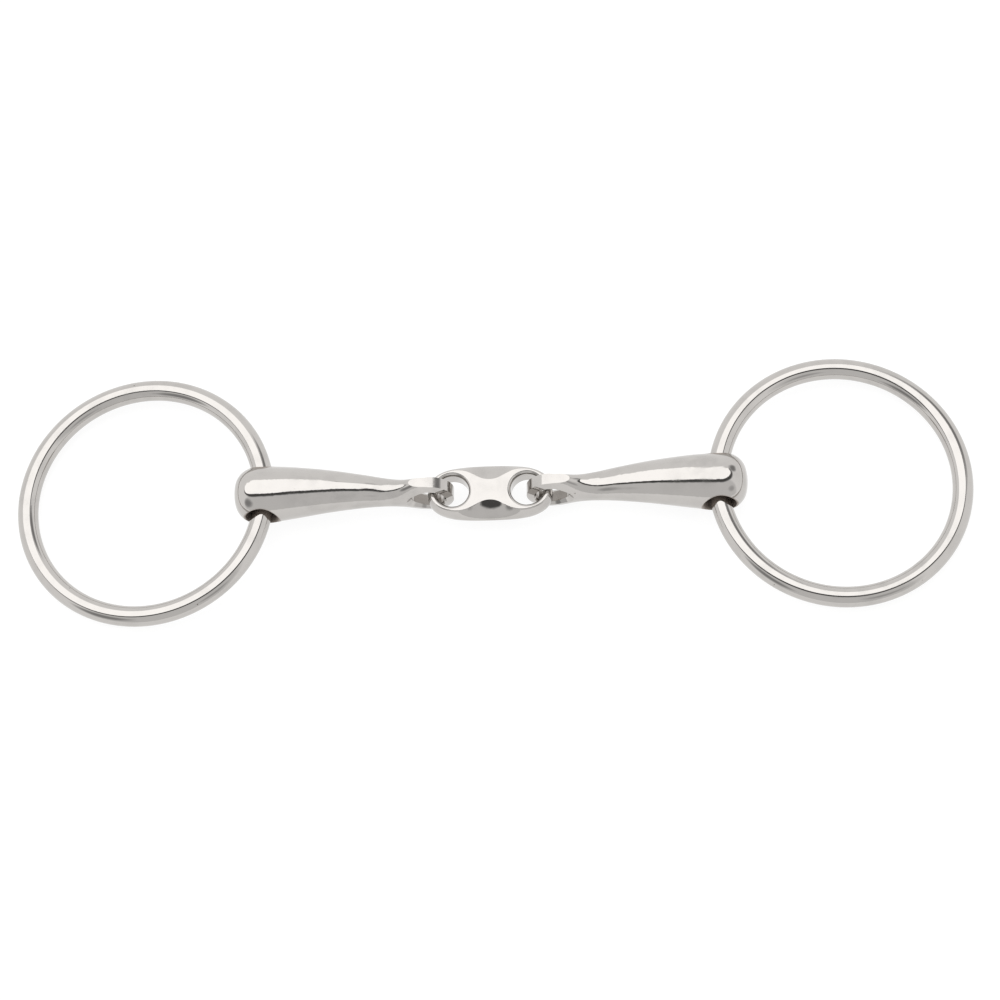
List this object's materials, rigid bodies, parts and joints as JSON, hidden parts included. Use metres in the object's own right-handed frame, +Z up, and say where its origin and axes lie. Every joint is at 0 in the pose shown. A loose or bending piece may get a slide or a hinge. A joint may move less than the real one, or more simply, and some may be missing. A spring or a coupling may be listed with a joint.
{
  "type": "snaffle bit",
  "caption": "Loose-ring snaffle bit: two round rings run through the butt ends of tapering cannons that hinge on a short oval centre link.",
  "frame": {"origin": "on the table the bit lies on, under the middle of the centre link", "axes": "+X along the mouthpiece to the right-hand ring, +Y along the ring holes, +Z up from the table"},
  "size_m": [0.28, 0.077, 0.0168],
  "materials": {
    "polished_steel": "polished"
  },
  "bodies": {
    "link": {"centre_link": "polished_steel"},
    "left_cannon": {"cannon_left": "polished_steel"},
    "right_cannon": {"cannon_right": "polished_steel"},
    "left_ring": {"ring_left": "polished_steel"},
    "right_ring": {"ring_right": "polished_steel"}
  },
  "joints": [
    {"name": "left_fold", "type": "hinge", "parent": "link", "child": "left_cannon", "pos_m": [-0.0176, -0.00055, 0.00716], "axis": [0.0087, 0.9945, -0.1045], "range_deg": [-40, 40]},
    {"name": "right_fold", "type": "hinge", "parent": "link", "child": "right_cannon", "pos_m": [0.0176, -0.00055, 0.00716], "axis": [-0.0087, 0.9945, -0.1045], "range_deg": [-40, 40]},
    {"name": "left_ring_swing", "type": "hinge", "parent": "left_cannon", "child": "left_ring", "pos_m": [-0.0665, 0, 0.0083], "axis": [0, 1, 0], "range_deg": [-90, 90]},
    {"name": "right_ring_swing", "type": "hinge", "parent": "right_cannon", "child": "right_ring", "pos_m": [0.0665, 0, 0.0083], "axis": [0, 1, 0], "range_deg": [-90, 90]}
  ]
}
